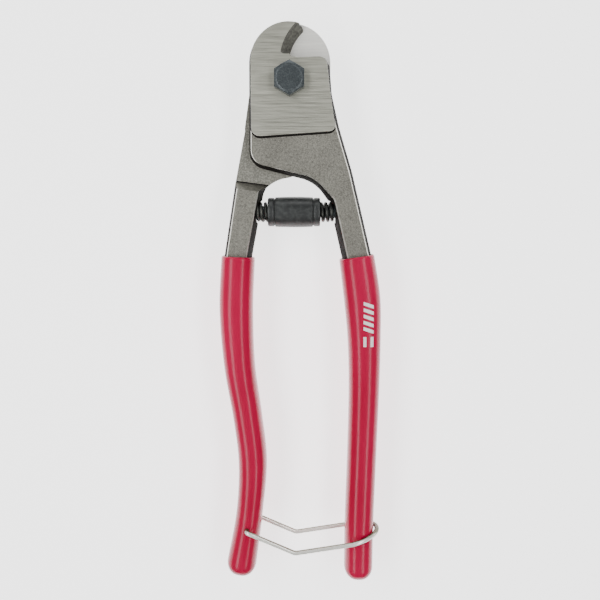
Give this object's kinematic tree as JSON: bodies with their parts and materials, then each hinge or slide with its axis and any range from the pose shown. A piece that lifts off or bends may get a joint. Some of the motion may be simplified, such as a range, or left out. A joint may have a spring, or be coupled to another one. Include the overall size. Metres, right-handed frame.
{
  "type": "hand cable cutter",
  "caption": "Hand cutter for wire rope: two half-lapped forged arms on one bolt, dipped handle grips, return spring with buffer sleeve, and a wire latch bail.",
  "frame": {"origin": "on the pivot axis, at the end face of the pivot bolt, which the tool lies on when its front faces up", "axes": "+X across the handles towards the right handle, +Y from the handles towards the jaws, +Z along the pivot bolt out of the front face"},
  "size_m": [0.0556, 0.1916, 0.0219],
  "materials": {
    "arm_steel": "ground blades on blasted forgings",
    "black_steel": "black oxide",
    "nylon": "plain",
    "spring_steel": "oil blackened",
    "sleeve_rubber": "semi-matt",
    "grip_vinyl": "glossy dipped vinyl",
    "bright_wire": "nickel plated"
  },
  "bodies": {
    "right_half": {"front_arm": "arm_steel", "right_grip": "grip_vinyl", "pivot_bolt": "black_steel", "pivot_nut": "black_steel", "nut_lock_ring": "nylon", "right_spring_pin": "black_steel", "return_spring": "spring_steel"},
    "left_half": {"rear_arm": "arm_steel", "left_grip": "grip_vinyl", "left_spring_pin": "black_steel"},
    "buffer": {"buffer_sleeve": "sleeve_rubber"},
    "latch": {"latch_bail": "bright_wire"}
  },
  "joints": [
    {"name": "handle_opening", "type": "hinge", "parent": "right_half", "child": "left_half", "pos_m": [0, 0, 0.012], "axis": [0, 0, -1], "range_deg": [-3, 38], "deforming": ["return_spring"]},
    {"name": "sleeve_follow", "type": "hinge", "parent": "right_half", "child": "buffer", "pos_m": [0, 0, 0.012], "axis": [0, 0, -1], "range_deg": [-1.5, 19]},
    {"name": "bail_swing", "type": "hinge", "parent": "left_half", "child": "latch", "pos_m": [-0.0148, -0.1518, 0.012], "axis": [0, 0, -1], "range_deg": [0, 255], "deforming": ["latch_bail"]}
  ],
  "couplings": [
    {"joint": "sleeve_follow", "follows": "handle_opening", "ratio": 0.5}
  ]
}
